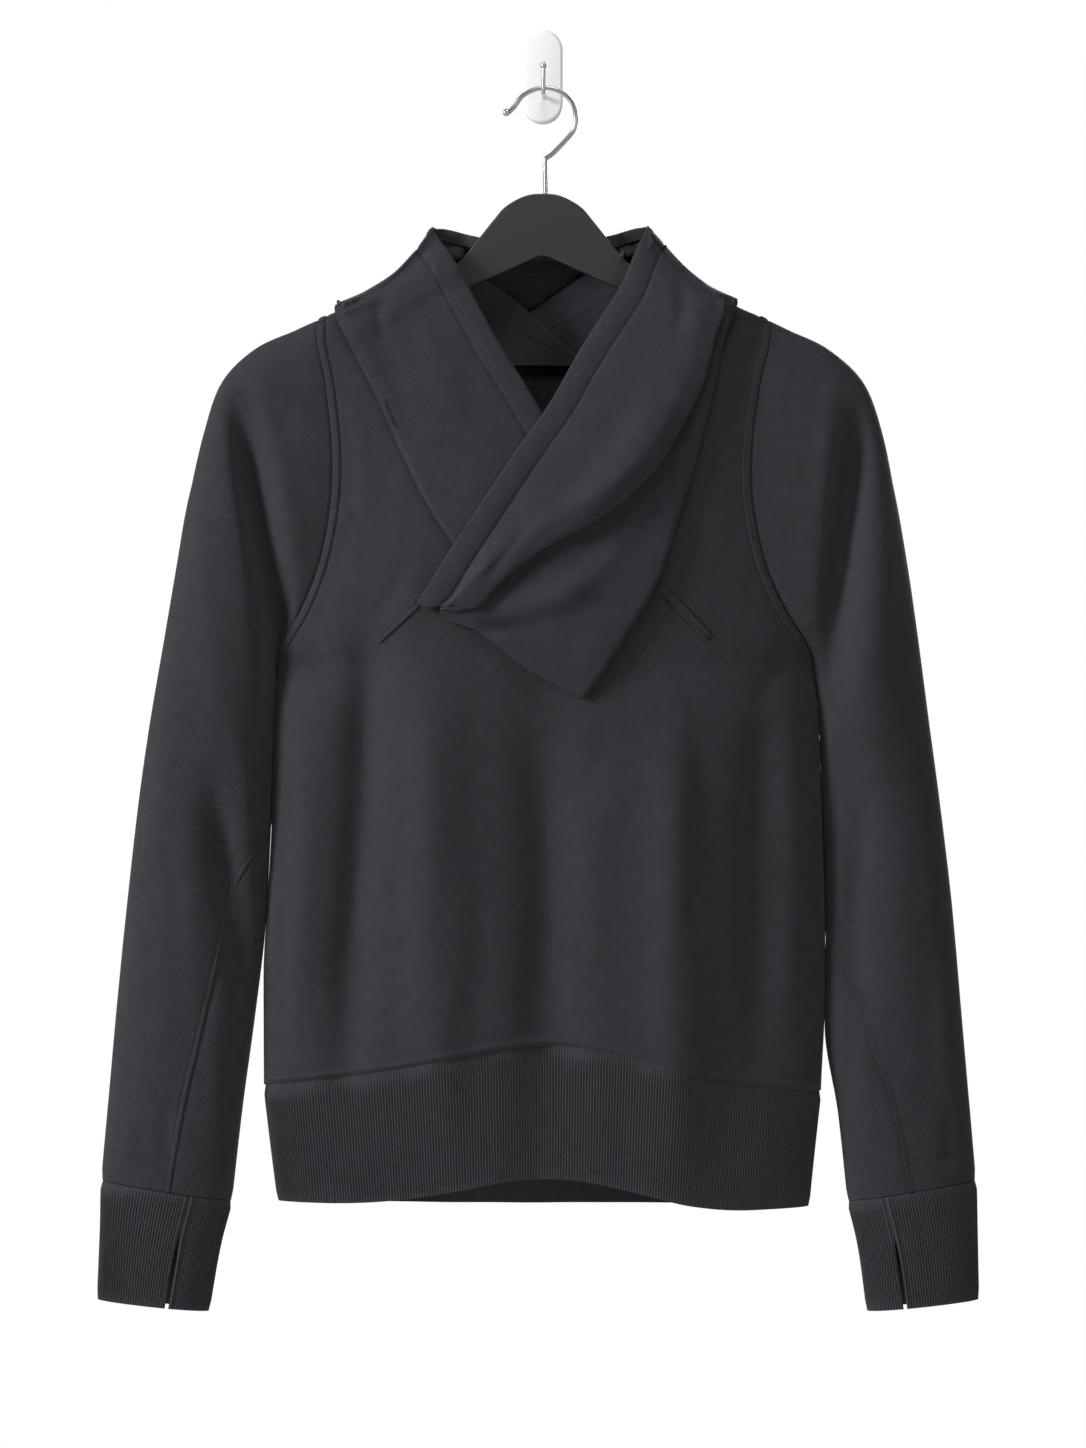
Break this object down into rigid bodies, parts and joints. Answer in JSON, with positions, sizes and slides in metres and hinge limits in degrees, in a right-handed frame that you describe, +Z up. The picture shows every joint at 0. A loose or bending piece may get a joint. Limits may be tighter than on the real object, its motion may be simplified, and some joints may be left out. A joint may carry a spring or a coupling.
{
  "type": "sweatshirt on a hanger and wall hook",
  "caption": "Fleece sweatshirt with a wide crossed collar, ribbed hem and vented cuffs, hanging on a flat hanger from a wall hook.",
  "frame": {"origin": "middle of the wall plate's back face, which is the wall's plane", "axes": "+Z up, +X to the right as the front is seen, front towards -Y, wall at Y 0"},
  "size_m": [0.6388, 0.0963, 0.9311],
  "materials": {
    "charcoal_fleece": "smooth jersey face, matte",
    "charcoal_rib": "rib knit, matte",
    "hanger_black": "matte black lacquer",
    "satin_steel": "satin",
    "plate_white": "satin white paint"
  },
  "bodies": {
    "root": {"front": "charcoal_fleece", "back": "charcoal_fleece", "sleeve_left": "charcoal_fleece", "sleeve_right": "charcoal_fleece", "undersleeve_left": "charcoal_fleece", "undersleeve_right": "charcoal_fleece", "collar_right": "charcoal_fleece", "collar_left": "charcoal_fleece", "collar_back": "charcoal_fleece", "neck_band_right": "charcoal_fleece", "neck_band_left": "charcoal_fleece", "welt_right": "charcoal_fleece", "welt_left": "charcoal_fleece", "hem_band": "charcoal_rib", "cuff_left": "charcoal_rib", "cuff_right": "charcoal_rib", "hanger": "hanger_black", "hanger_hook": "satin_steel", "hook_bow": "satin_steel", "wall_pin": "satin_steel", "wall_plate": "plate_white"}
  },
  "joints": []
}
